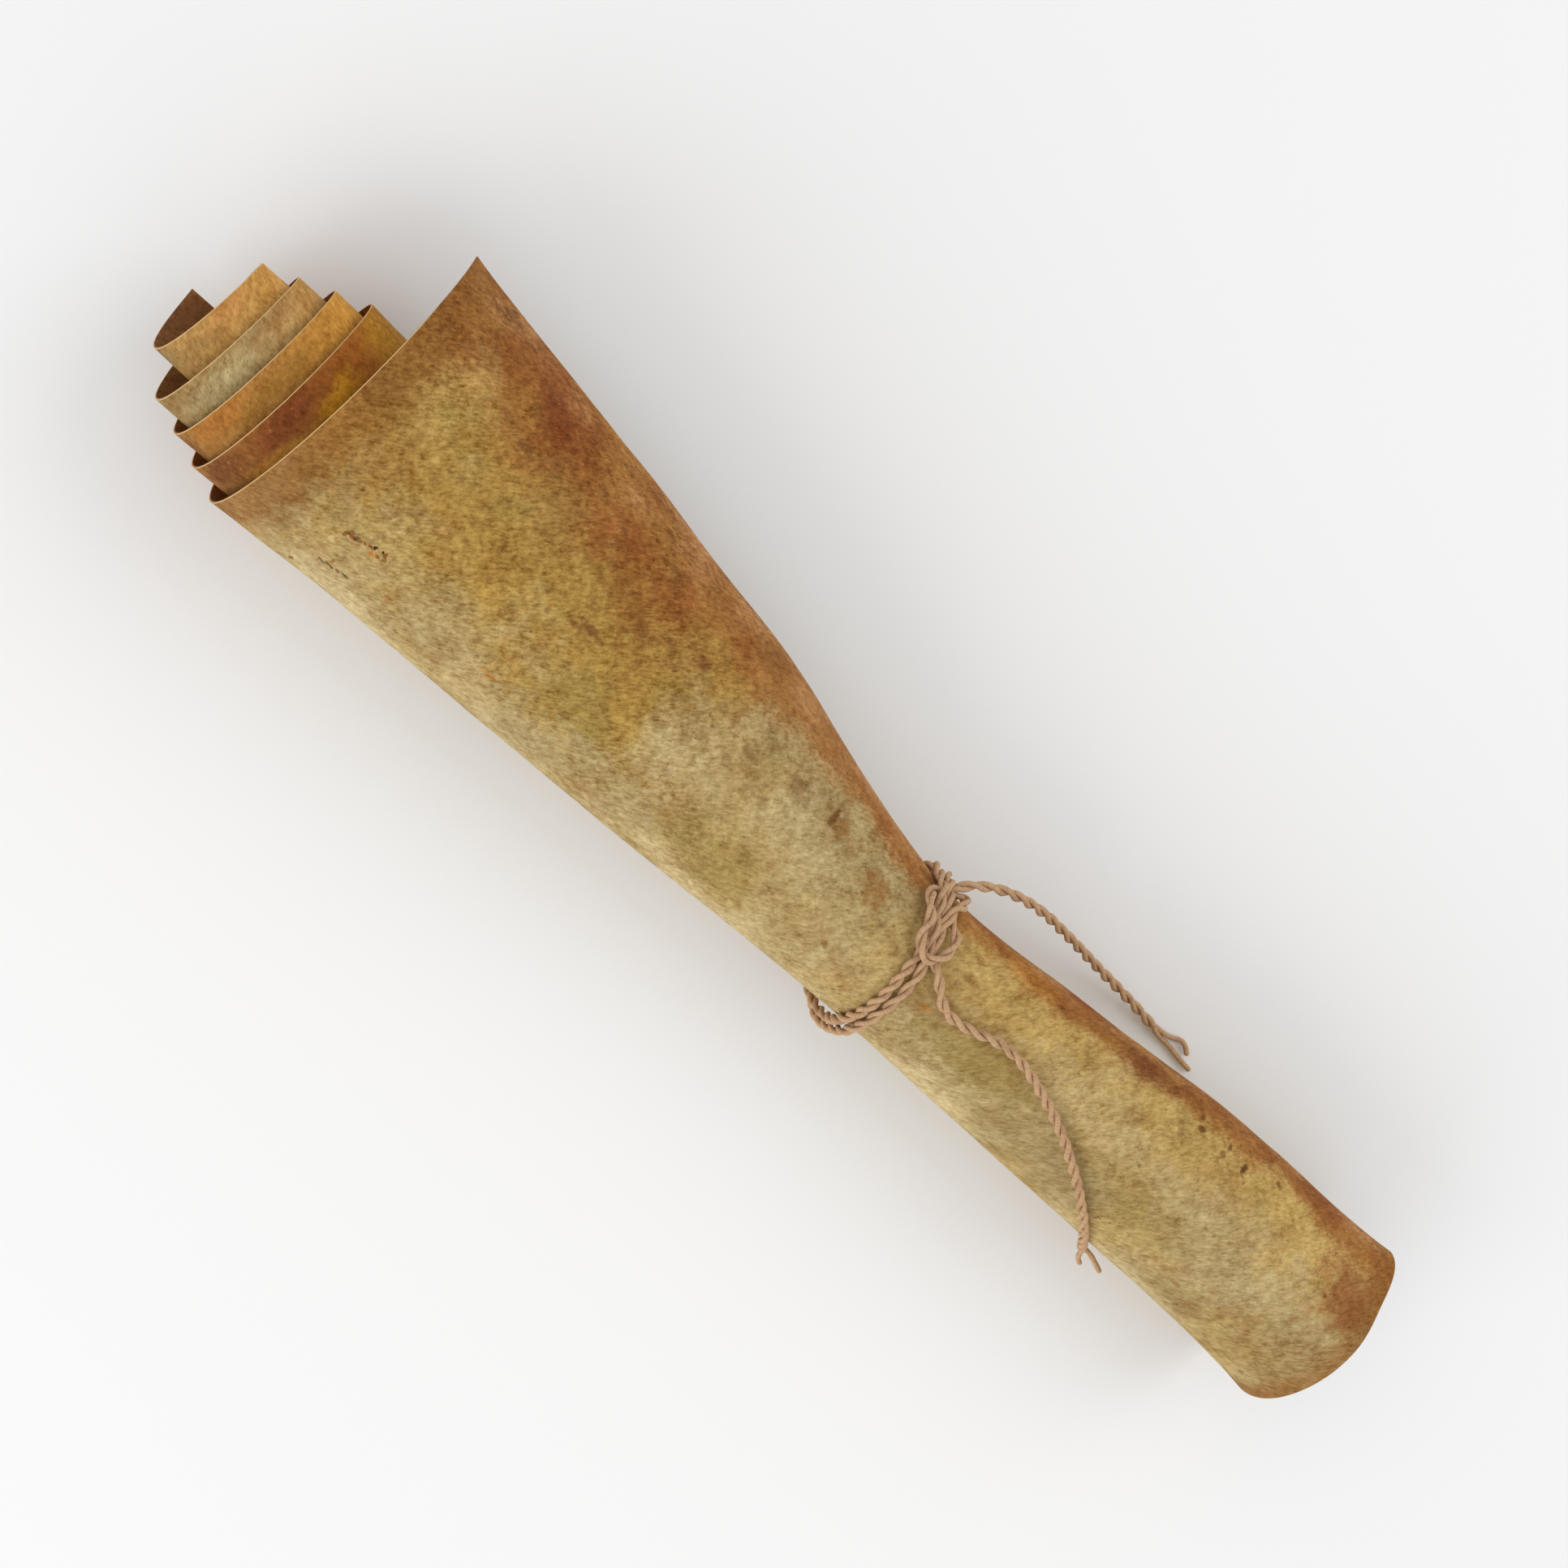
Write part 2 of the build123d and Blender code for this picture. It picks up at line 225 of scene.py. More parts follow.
class Wash:
    """A value that soaks into a surface: sums and products add Math nodes, node() adds any other node."""

    def __init__(self, tree, socket=None):
        self.tree, self.socket = tree, socket

    def node(self, kind, settings, sockets, out=0):
        made = self.tree.nodes.new("ShaderNode" + kind)
        for name, value in settings.items():
            if name == "stops":
                ends = made.color_ramp.elements
                ends[0].position, ends[0].color = value[0]
                ends[1].position, ends[1].color = value[-1]
                for position, colour in value[1:-1]:
                    ends.new(position).color = colour
            else:
                setattr(made, name, value)
        for name, value in sockets.items():
            if isinstance(value, Wash):
                self.tree.links.new(value.socket, made.inputs[name])
            else:
                made.inputs[name].default_value = value
        return Wash(self.tree, made.outputs[out])

    def sum(self, operation, first, second):
        return self.node("Math", {"operation": operation}, {0: first, 1: second})

    def __add__(self, other):
        return self.sum("ADD", self, other)

    def __radd__(self, other):
        return self.sum("ADD", other, self)

    def __sub__(self, other):
        return self.sum("SUBTRACT", self, other)

    def __rsub__(self, other):
        return self.sum("SUBTRACT", other, self)

    def __mul__(self, other):
        return self.sum("MULTIPLY", self, other)

    def __rmul__(self, other):
        return self.sum("MULTIPLY", other, self)

    def __truediv__(self, other):
        return self.sum("DIVIDE", self, other)

    def __rtruediv__(self, other):
        return self.sum("DIVIDE", other, self)

    def __or__(self, other):
        return self.sum("MAXIMUM", self, other)

    def __ror__(self, other):
        return self.sum("MAXIMUM", other, self)

    def soft(self, low, high):
        """0 up to low and 1 from high, smooth between them; the other way round if high is the lower."""
        return self.node("MapRange", {"interpolation_type": "SMOOTHSTEP"}, {"Value": self, 1: low, 2: high})

    def cloud(self, size, detail=4.0, rough=0.55, stretch=(1, 1, 1), at=0.0):
        """Soft patches about size metres across, from 0 to 1; self is the place."""
        shifted = self.node(
            "VectorMath", {"operation": "MULTIPLY_ADD"},
            {0: self, 1: [part / size for part in stretch], 2: (at, at * 1.7, at * 0.6)})
        return shifted.node(
            "TexNoise", {}, {"Vector": shifted, "Scale": 1.0, "Detail": detail, "Roughness": rough})

    def tint(self, over, amount):
        """This colour with another soaked into it."""
        return self.node("Mix", {"data_type": "RGBA"}, {0: amount, 6: self, 7: over}, out=2)

    def shade(self, amount):
        """This colour made lighter or darker by a share of itself, and warmer as it darkens."""
        warm_change, unchanged = (0.8, 1.0, 1.35), (1.0, 1.0, 1.0)
        parts = amount.node(
            "VectorMath", {"operation": "MULTIPLY_ADD"}, {0: amount, 1: warm_change, 2: unchanged})
        return self.node("VectorMath", {"operation": "MULTIPLY"}, {0: self, 1: parts})


def tone(red, green, blue):
    """A colour seen on screen, 0 to 255, as the light that it sends back."""
    return [((part / 255 + 0.055) / 1.055) ** 2.4 for part in (red, green, blue)] + [1.0]


def new_material(name, specular):
    material = bpy.data.materials.new(name)
    material.use_nodes = True
    surface = material.node_tree.nodes["Principled BSDF"]
    surface.inputs["Specular IOR Level"].default_value = specular
    return material, surface


def finish_surface(surface, colour, roughness, height, strength, distance):
    """Colour, roughness and relief of a surface, linked to its shader."""
    relief = height.node("Bump", {}, {"Strength": strength, "Distance": distance, "Height": height})
    for name, wash in (("Base Color", colour), ("Roughness", roughness), ("Normal", relief)):
        wash.tree.links.new(wash.socket, surface.inputs[name])


old_paper, paper_surface = new_material("old_paper", specular=0.1)
place = Wash(old_paper.node_tree).node("Attribute", {"attribute_name": "sheet_place"}, {}, out="Vector")
from_edge, from_mouth, inside = (place.node("SeparateXYZ", {}, {0: place}, out=k) for k in range(3))
PALE, BUFF, GREY = tone(194, 172, 122), tone(182, 155, 99), tone(170, 149, 104)
GOLD, TAN, OLIVE = tone(192, 158, 92), tone(167, 132, 65), tone(150, 126, 68)
EDGE_BROWN, RUST, BROWN = tone(182, 132, 82), tone(160, 106, 50), tone(142, 94, 42)
RED, ORANGE, DARK = tone(134, 70, 30), tone(190, 122, 42), tone(84, 54, 26)
UMBER, BURNT, FOOT_BROWN = tone(118, 76, 38), tone(114, 58, 28), tone(152, 100, 56)
# The cream tone is painted light: it lightens the side of the roll that faces the near-left lamp.
INNER_FACE_SHADE, LIT_SIDE_CREAM, PALE_ARRIS_LINE = tone(142, 92, 56), tone(210, 190, 142), tone(222, 184, 128)

# The upper side of the mouth half is tanned by handling; the rest is buff, and golden below the twine.
aslant = place.node("CombineXYZ", {}, {
    "X": from_edge + from_mouth, "Y": (from_mouth - from_edge) * 0.3, "Z": inside})
fibres = aslant.cloud(0.0007, detail=4.0, rough=0.62, at=11.0) - 0.5
fine_edge = place.cloud(0.006, detail=5.0, rough=0.65, at=2.0) - 0.5
wide_edge = place.cloud(0.022, detail=7.0, rough=0.68, at=5.0) - 0.5
ragged = wide_edge * 0.030 + fine_edge * 0.012 + fibres * 0.008
colour = place.node("RGB", {}, {})
colour.socket.default_value = BUFF
colour = colour.tint(GREY, place.cloud(0.026, detail=6.0, at=4.0).soft(0.42, 0.62) * 0.8)
tanned = (from_edge + ragged * 1.6).soft(0.074, 0.052) * (from_mouth + ragged * 1.8).soft(0.108, 0.086)
colour = colour.tint(TAN, tanned)
golden = (from_mouth + ragged).soft(0.160, 0.185) * (from_edge + ragged * 1.2).soft(0.036, 0.022)
colour = colour.tint(GOLD, golden * 0.9)
colour = colour.tint(PALE, place.cloud(0.017, detail=6.0, at=1.0).soft(0.54, 0.70) * 0.4)
colour = colour.tint(OLIVE, place.cloud(0.015, detail=6.0, at=9.0).soft(0.54, 0.70) * 0.45)
colour = colour.tint(BROWN, place.cloud(0.010, detail=8.0, rough=0.68, at=19.0).soft(0.49, 0.63) * 0.34)
colour = colour.tint(UMBER, place.cloud(0.0045, detail=6.0, rough=0.7, at=22.0).soft(0.53, 0.67) * 0.45)

# Rust that crept in from the free long edge, wide at the mouth and narrow below the twine, with red drifts.
border_width = 0.0128 + 0.0165 * from_mouth.soft(0.150, 0.060)
border = from_edge / border_width + ragged * 36.0
drift = place.cloud(0.013, detail=7.0, rough=0.66, at=7.0)
ruddy = place.cloud(0.016, detail=7.0, rough=0.66, at=8.0)
colour = colour.tint(RUST, border.soft(1.45, 0.85) * 0.4)
colour = colour.tint(RUST, border.soft(1.25, 0.85) * 0.8)
colour = colour.tint(EDGE_BROWN, border.soft(0.75, 0.30) * drift.soft(0.44, 0.60) * 0.75)
colour = colour.tint(RED, border.soft(1.10, 0.85) * ruddy.soft(0.47, 0.60) * 0.5)
smoky = place.cloud(0.007, detail=6.0, rough=0.7, at=24.0)
colour = colour.tint(UMBER, border.soft(1.20, 0.80) * smoky.soft(0.53, 0.67) * 0.7)

# Stains and spots: middle on the sheet from the free edge and from the mouth, reach across and along the
# roll, in mm, then the dye and its strength. The cream patches far from the free edge are not stains but
# painted light, for the side of the roll that faces the near-left lamp.
STAINS = (
    (34, 15, 12, 9, GOLD, 0.5), (74, 24, 12, 11, PALE, 0.1), (67, 44, 9, 14, GREY, 0.6),
    (31, 126, 7, 14, PALE, 0.5), (52, 146, 9, 14, PALE, 0.6), (28, 212, 7, 22, PALE, 0.4),
    (31, 258, 8, 18, PALE, 0.45), (51, 190, 6, 22, LIT_SIDE_CREAM, 0.6), (84, 34, 8, 16, LIT_SIDE_CREAM, 0.5),
    (77, 76, 6, 12, LIT_SIDE_CREAM, 0.4), (62, 124, 6, 16, LIT_SIDE_CREAM, 0.6), (60, 250, 6, 26, LIT_SIDE_CREAM, 0.4),
    (14, 264, 5, 7, GOLD, 0.8), (6, 71, 8, 9, EDGE_BROWN, 0.6), (7, 113, 6, 7, EDGE_BROWN, 0.6),
    (4, 128, 5, 9, EDGE_BROWN, 0.6), (33, 70, 7, 8, BROWN, 0.7), (27, 31, 4, 8, BROWN, 0.3),
    (25, 251, 6, 8, BROWN, 0.25), (8, 98, 5, 7, BROWN, 0.6), (13, 84, 4, 6, BROWN, 0.4),
    (47, 288, 11, 9, BROWN, 0.2), (14, 64, 5, 6, BROWN, 0.35), (9, 29, 10, 7, RED, 0.5),
    (17, 38, 6, 9, RED, 0.5), (17, 31, 5, 5, BURNT, 0.6), (11, 223, 6, 9, BURNT, 0.8),
    (4, 206, 4, 8, RED, 0.5), (5, 279, 4, 6, RED, 0.35), (7, 238, 5, 6, RED, 0.4),
    # The olive streaks at 34 and 194 and at 42 and 238 mm lie along the fold and are painted shade in its
    # groove.
    (53, 75, 7, 9, OLIVE, 0.7), (50, 120, 8, 12, OLIVE, 0.65), (34, 194, 6, 15, OLIVE, 0.75),
    (42, 238, 7, 18, OLIVE, 0.6), (50, 214, 6, 14, OLIVE, 0.3), (52, 272, 7, 16, OLIVE, 0.25),
    (32, 44, 9, 8, OLIVE, 0.3), (31, 278, 7, 6, PALE, 0.5), (72, 58, 7, 10, PALE, 0.4),
    (14, 181, 5, 8, GOLD, 0.6), (9, 190, 4, 8, ORANGE, 0.35), (25, 88, 6, 9, TAN, 0.6),
    (47, 11, 7, 6, BROWN, 0.3), (44, 97, 8, 10, PALE, 0.5), (46, 226, 8, 12, GREY, 0.6),
    (9, 212, 5, 8, BROWN, 0.5), (20, 292, 11, 9, FOOT_BROWN, 0.95), (66, 76, 8, 14, GREY, 0.6),
    (60, 95, 7, 10, GREY, 0.6), (38, 262, 8, 12, GREY, 0.5), (43, 210, 7, 9, GREY, 0.5),
    (22, 42, 5, 8, RED, 0.35), (22, 62, 4, 7, RED, 0.4),
)
SPOTS = (
    (27.5, 87.0, 1.8, 2.2, UMBER, 0.7), (26.0, 120.0, 2.8, 3.2, UMBER, 0.55),
    (22.0, 130.4, 3.6, 0.9, UMBER, 0.9), (22.4, 133.4, 2.6, 2.4, BROWN, 0.6),
    (23.2, 148.0, 3.6, 4.2, BROWN, 0.7), (31.2, 107.0, 1.6, 2.0, UMBER, 0.45),
    (40.0, 95.0, 1.5, 1.9, UMBER, 0.45), (33.0, 82.0, 1.3, 2.0, UMBER, 0.45),
    (30.0, 97.0, 1.2, 1.6, UMBER, 0.35), (41.5, 66.0, 0.9, 3.4, UMBER, 0.75),
    (43.4, 62.0, 0.8, 2.2, UMBER, 0.6), (28.4, 31.5, 1.0, 3.0, UMBER, 0.7),
    (27.0, 24.5, 1.2, 2.0, UMBER, 0.5), (33.5, 73.0, 1.8, 2.4, UMBER, 0.5),
    (30.2, 79.5, 1.0, 2.6, UMBER, 0.5), (38.6, 149.2, 0.8, 1.1, UMBER, 0.6),
    (16.2, 239.4, 1.0, 1.1, UMBER, 0.9), (15.2, 247.8, 1.4, 0.7, UMBER, 0.8),
    (17.9, 246.9, 1.0, 0.7, UMBER, 0.7), (16.8, 253.2, 1.5, 0.9, DARK, 0.9),
    (13.3, 263.0, 1.0, 1.1, UMBER, 0.8), (56.0, 75.5, 0.9, 1.2, UMBER, 0.6),
    (47.0, 98.0, 1.2, 1.4, UMBER, 0.4), (64.0, 60.0, 1.0, 1.6, ORANGE, 0.5),
    (70.0, 35.0, 2.4, 1.2, BROWN, 0.5), (36.0, 104.5, 1.2, 1.6, UMBER, 0.4),
    (34.5, 116.0, 1.2, 1.8, UMBER, 0.35), (31.5, 175.0, 0.9, 1.3, ORANGE, 0.5),
    (48.0, 262.0, 0.7, 1.2, BROWN, 0.6), (26.0, 286.5, 0.7, 0.7, RED, 0.8),
)


def soak(colour, stains, edge):
    """The colour with stains in it, their outlines shaken by the given edge."""
    for edge_mm, mouth_mm, across, along, dye, strength in stains:
        off = place.node("VectorMath", {"operation": "MULTIPLY_ADD"}, {
            0: place, 1: (1000 / across, 1000 / along, 0), 2: (-edge_mm / across, -mouth_mm / along, 0)})
        reach = off.node("VectorMath", {"operation": "LENGTH"}, {0: off}, out="Value")
        colour = colour.tint(dye, (reach + edge).soft(1.35, 0.45) * strength)
    return colour


colour = soak(colour, STAINS, (place.cloud(0.011, detail=7.0, rough=0.7, at=6.0) - 0.5) * 3.2)
colour = soak(colour, SPOTS, (place.cloud(0.0024, detail=4.0, rough=0.65, at=10.0) - 0.5) * 2.6)

# The mouth edge and the foot edge are browned by fingers.
mouth_ragged = from_mouth + ragged * 0.30 + fine_edge * 0.004
colour = colour.tint(BROWN, mouth_ragged.soft(0.013, 0.004) * (0.45 + drift * 0.7))
foot_ragged = SHEET_WIDTH / 1000 - from_mouth + ragged * 0.2
colour = colour.tint(BROWN, foot_ragged.soft(0.008, 0.001) * 0.7)

# Each inner turn's strip at the mouth took its own colour, and each is painted lighter as painted light
# against
# the shade that falls into the mouth: degrees of winding from the free edge, and the colour. Smudges lie on
# the strips, with their middles in degrees and then as the stains are given.
STRIPS = (
    (300, tone(150, 104, 56)), (384, tone(206, 146, 44)), (402, tone(178, 104, 36)),
    (450, tone(140, 78, 34)), (500, tone(138, 90, 44)), (540, tone(160, 108, 54)),
    (740, tone(222, 158, 66)), (800, tone(170, 116, 54)), (900, tone(158, 110, 52)),
    (1100, tone(208, 158, 88)), (1150, tone(174, 148, 98)), (1250, tone(152, 126, 78)),
    (1460, tone(228, 170, 88)), (1530, tone(186, 142, 80)), (1620, tone(162, 126, 74)),
    (1700, tone(130, 84, 48)),
)
FIRST_STRIP, STRIP_START = 350, 0.02


def reach_at(degrees):
    """How far the paper reaches along the mouth edge at an angle of winding, in mm from the free edge."""
    return float(np.interp(degrees, np.degrees(WINDS), outer_place[:, 0, 0]))


sheet_reach = float(outer_place[-1, 0, 0])
strip_stops = [(reach_at(degrees) / sheet_reach, paint) for degrees, paint in STRIPS]
strip = from_edge.node(
    "ValToRGB", {"stops": strip_stops}, {"Fac": (from_edge + ragged * 0.5) * (1000 / sheet_reach)})
first_turn = reach_at(FIRST_STRIP) / 1000
colour = colour.tint(strip, from_edge.soft(first_turn - STRIP_START, first_turn) * 0.85)
SMUDGES = (
    (424, 7, 7, 3, tone(214, 152, 40), 0.8), (462, 8, 10, 2, tone(196, 138, 52), 0.6),
    (455, 3, 9, 3, tone(122, 62, 32), 0.7), (505, 3, 7, 3, tone(112, 62, 36), 0.6),
    (532, 5, 6, 3, tone(124, 100, 58), 0.7), (800, 4, 10, 2, tone(154, 112, 46), 0.6),
    (846, 2, 7, 3, tone(170, 104, 40), 0.5), (884, 4, 7, 3, tone(112, 70, 34), 0.6),
    (1130, 2, 8, 2, tone(176, 126, 74), 0.6), (1180, 5, 9, 3, tone(178, 162, 118), 0.6),
    (1225, 2, 8, 2, tone(140, 106, 62), 0.5), (1500, 2, 8, 2, tone(206, 146, 82), 0.6),
    (1550, 4, 9, 2, tone(158, 124, 70), 0.6), (1600, 3, 7, 3, tone(140, 116, 74), 0.6),
)
smudges = [(reach_at(degrees), *rest) for degrees, *rest in SMUDGES]
colour = soak(colour, smudges, (place.cloud(0.006, detail=7.0, rough=0.7, at=23.0) - 0.5) * 3.0)

# Where the sheet was damp it has cracked: short brown cracks, given as the stains are, and two dark pits,
# given by their middles and sizes in mm.
PIT_BROWN, PIT_DARK = tone(122, 72, 28), tone(40, 24, 16)
CRACKS = (
    (66.8, 20.2, 0.5, 1.1, PIT_BROWN, 0.9), (67.5, 19.2, 0.9, 0.4, PIT_BROWN, 0.7),
    (66.0, 19.8, 0.4, 0.8, PIT_BROWN, 0.8), (66.2, 21.2, 0.6, 0.5, PIT_DARK, 0.7),
    (66.1, 22.2, 0.4, 0.5, PIT_BROWN, 0.7), (65.6, 23.2, 0.4, 0.7, PIT_BROWN, 0.9),
    (65.1, 24.1, 0.4, 0.7, PIT_BROWN, 0.9), (63.7, 27.5, 0.8, 0.4, PIT_BROWN, 0.9),
    (64.7, 28.0, 0.6, 0.5, PIT_BROWN, 0.7), (65.4, 26.7, 0.4, 0.7, PIT_BROWN, 0.8),
    (65.9, 25.3, 0.5, 0.9, ORANGE, 0.8), (77.2, 21.0, 0.4, 0.9, PIT_DARK, 0.7),
    (76.6, 22.0, 0.5, 0.7, PIT_BROWN, 0.9), (76.4, 23.1, 0.4, 0.8, PIT_DARK, 0.8),
    (75.9, 24.4, 0.5, 0.8, PIT_BROWN, 0.8), (75.2, 26.0, 0.4, 0.9, PIT_DARK, 0.7),
    (74.6, 22.2, 0.6, 0.4, PIT_BROWN, 0.7), (72.2, 26.6, 0.4, 0.7, PIT_BROWN, 0.5),
    (86.0, 17.6, 1.2, 0.6, PIT_BROWN, 0.9),
)
PITS = ((64.5, 25.0, 0.62), (63.8, 26.6, 0.55))
wriggle = place.cloud(0.0012, detail=3.0, at=20.0) - 0.5
waver = place.cloud(0.0012, detail=3.0, at=21.0) - 0.5
shake = place.node("CombineXYZ", {}, {"X": wriggle * 0.0022, "Y": waver * 0.0022})
shaken = place.node("VectorMath", {"operation": "ADD"}, {0: place, 1: shake})
pits = 0.0
for edge_mm, mouth_mm, size in PITS:
    middle = (edge_mm / 1000, mouth_mm / 1000, 0)
    gap = shaken.node("VectorMath", {"operation": "DISTANCE"}, {0: shaken, 1: middle}, out="Value")
    pits = pits | gap.soft(size * 0.0012, size * 0.0003)
colour = soak(colour, CRACKS, wriggle * 2.2 + waver * 1.4)
colour = colour.tint(PIT_DARK, pits)

# Fine grain: short fibres that lie aslant, mottling, and brown and orange flecks.
mottle = place.cloud(0.0018, detail=4.0, rough=0.7, at=12.0) - 0.5
blotches = place.cloud(0.010, detail=5.0, rough=0.6, at=18.0) - 0.5
fleck_patches = place.cloud(0.02, at=14.0).soft(0.42, 0.60)
flecks = place.cloud(0.0012, detail=2.0, at=13.0).soft(0.62, 0.74) * fleck_patches
colour = colour.tint(ORANGE, place.cloud(0.0012, detail=2.0, at=15.0).soft(0.62, 0.74) * 0.45)
colour = colour.tint(UMBER, flecks * 0.6)
# Painted shade: the inner face of every turn is tinted a darker, redder brown for the shadow inside the roll.
colour = colour.tint(INNER_FACE_SHADE, inside * 0.75)
colour = colour.shade((fibres * 1.5 + mottle * 1.25) * (1.0 + tanned * 0.35) + blotches * 0.9 - 0.02)
# The outer face is paler in a thin line along the mouth edge, away from the free edge.
arris = from_mouth.soft(0.0002, 0.0001) * from_edge.soft(0.022, 0.034) * (1 - inside)
colour = colour.tint(PALE_ARRIS_LINE, arris)
worn = place.cloud(0.012, at=16.0) * 0.2 + 0.68
relief = fibres * 0.4 + mottle * 0.7 + place.cloud(0.009, detail=3.0, at=17.0) * 1.4 - pits * 0.8
finish_surface(paper_surface, colour, worn, relief, strength=0.5, distance=0.0005)
sheet_mesh.materials.append(old_paper)

# The cut of the paper shows as a pale line at its outer arris; the corner of the free edge is browned
# through.
cut_paper, cut_surface = new_material("cut_paper", specular=0.2)
place = Wash(cut_paper.node_tree).node("Attribute", {"attribute_name": "sheet_place"}, {}, out="Vector")
from_edge, depth = (place.node("SeparateXYZ", {}, {0: place}, out=k) for k in (0, 2))
colour = place.node("RGB", {}, {})
colour.socket.default_value = tone(124, 84, 48)
colour = colour.tint(tone(228, 192, 138), depth.soft(0.62, 0.38) * from_edge.soft(0.022, 0.034))
colour = colour.tint(tone(180, 132, 78), place.cloud(0.006, at=1.0).soft(0.46, 0.66) * 0.7)
finish_surface(
    cut_surface, colour, place.cloud(0.002) * 0.1 + 0.8, place.cloud(0.0006), strength=0.3, distance=0.0001)
sheet_mesh.materials.append(cut_paper)
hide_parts("paper_sheet")
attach(sheet, "root")

# The twine: one length of thin natural twine, two plies loosely twisted together. It goes twice round the
# waist, slack on the left where it hangs off the roll, and its two turns cross under the knot.
PLY_RADIUS, PLY_SPREAD, PLY_SIDES, RING_STEP = 0.60, 0.61, 10, 0.35
LONG_SLUBS, LONG_SLUB_DEPTH, SHORT_SLUBS, SHORT_SLUB_DEPTH = 2.3, 0.05, 0.8, 0.03
SLUB_SHIFT, GRAIN_SHIFT = 9.0, 40.0


def on_roll(x, degrees, height):
    """A point over the paper in the row frame: along the roll, round it from the free edge, off it, in mm."""
    wind = math.radians(degrees)
    first = wind % TURN
    out = float(radius(first, x + TURN_SLIP * first / TURN, x)) + height
    y = axis_y(x) + out * math.cos(wind)
    z = float(axis_z(x)) + out * math.sin(wind)
    return np.array((x, y, z)) + ROLL_TO_ROW


def laid(route, closed=False):
    """The line that the twine takes along a route: a smooth spline's own points, in mm."""
    curve = bpy.data.curves.new("route", "CURVE")
    curve.dimensions = "3D"
    spline = curve.splines.new("NURBS")
    spline.points.add(len(route) - 1)
    for knot, point in zip(spline.points, route):
        knot.co = (*(np.array(point) / 1000), 1)
    spline.use_cyclic_u = closed
    spline.use_endpoint_u = not closed
    spline.order_u = 3
    spline.resolution_u = 14
    carrier = bpy.data.objects.new("route", curve)
    line = bpy.data.meshes.new_from_object(carrier)
    points = np.array([vertex.co for vertex in line.vertices]) * 1000
    bpy.data.objects.remove(carrier)
    bpy.data.curves.remove(curve)
    bpy.data.meshes.remove(line)
    return np.concatenate((points, points[:1])) if closed else points


def evenly(points, count=None):
    """The same line with evenly spaced points, by a ring's step or a count, and the reach of each."""
    reach = np.r_[0, np.cumsum(np.linalg.norm(np.diff(points, axis=0), axis=1))]
    at = np.linspace(0, reach[-1], count or round(reach[-1] / RING_STEP) + 1)
    return np.stack([np.interp(at, reach, points[:, k]) for k in range(3)], axis=1), at


def sideways(points):
    """Two directions square to the line at each point, carried along it without twisting."""
    ahead = np.gradient(points, axis=0)
    ahead /= np.linalg.norm(ahead, axis=1)[:, None]
    somewhere_up = (0.3, 0.2, 0.9)
    side = np.cross(ahead[0], somewhere_up)
    sides = []
    for direction in ahead:
        side = side - direction * (side @ direction)
        side = side / np.linalg.norm(side)
        sides.append(side)
    sides = np.array(sides)
    return sides, np.cross(ahead, sides)


def twist(points, pitch, closed=False):
    """The lines of the two plies round a line; the pitch of their twist is given at places on it, in mm."""
    points, at = evenly(points)
    side, over = sideways(points)
    phase = TURN * np.r_[0, np.cumsum(np.diff(at) / np.interp(at[1:], *zip(*pitch)))]
    if closed:
        slip = math.atan2(side[-1] @ over[0], side[-1] @ side[0])
        whole = TURN * round((phase[-1] + slip) / TURN) - slip
        phase = phase * (whole / phase[-1])
    offset = np.cos(phase)[:, None] * side + np.sin(phase)[:, None] * over
    return [points + PLY_SPREAD * offset, points - PLY_SPREAD * offset]


def ply_tubes(name, lines, seed, closed=False):
    """One mesh of round plies along the given lines, in metres, uneven as spun fibre is."""
    verts, quads, marks = [], [], []
    for number, line in enumerate(lines):
        side, over = sideways(line)
        count = len(line)
        reach = np.r_[0, np.cumsum(np.linalg.norm(np.diff(line, axis=0), axis=1))]
        thick = 1 + LONG_SLUB_DEPTH * lumps(reach, number * SLUB_SHIFT, LONG_SLUBS, 1.0, seed)
        thick = thick + SHORT_SLUB_DEPTH * lumps(reach, number * SLUB_SHIFT, SHORT_SLUBS, 1.0, seed + 1)
        if not closed:
            to_end = np.minimum(reach, reach[-1] - reach) / PLY_RADIUS
            thick = thick * np.sqrt(np.clip(1 - (1 - np.clip(to_end, 0, 1)) ** 2, 0.02, 1))
        around = TURN * np.arange(PLY_SIDES) / PLY_SIDES
        ring = np.cos(around)[None, :, None] * side[:, None] + np.sin(around)[None, :, None] * over[:, None]
        start = sum(len(v) for v in verts)
        verts.append((line[:, None] + PLY_RADIUS * thick[:, None, None] * ring).reshape(-1, 3))
        mark = np.empty((count, PLY_SIDES, 3))
        mark[..., 0] = reach[:, None]
        mark[..., 1] = PLY_RADIUS * around[None]
        mark[..., 2] = number * GRAIN_SHIFT
        marks.append(mark.reshape(-1, 3))
        grid = start + np.arange(count * PLY_SIDES).reshape(count, PLY_SIDES)
        turned = np.roll(grid, -1, axis=1)
        quads += np.stack((grid[:-1], turned[:-1], turned[1:], grid[1:]), axis=-1).reshape(-1, 4).tolist()
        quads += [grid[0, ::-1].tolist(), grid[-1].tolist()]
    mesh = bpy.data.meshes.new(name)
    mesh.from_pydata(np.concatenate(verts) / 1000, [], quads)
    place = mesh.attributes.new("ply_place", "FLOAT_VECTOR", "POINT")
    place.data.foreach_set("vector", (np.concatenate(marks) / 1000).ravel())
    mesh.polygons.foreach_set("use_smooth", [True] * len(quads))
    mesh.materials.append(twine_fibre)
    piece = bpy.data.objects.new(name, mesh)
    bpy.context.scene.collection.objects.link(piece)
    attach(piece, "root")
    return piece


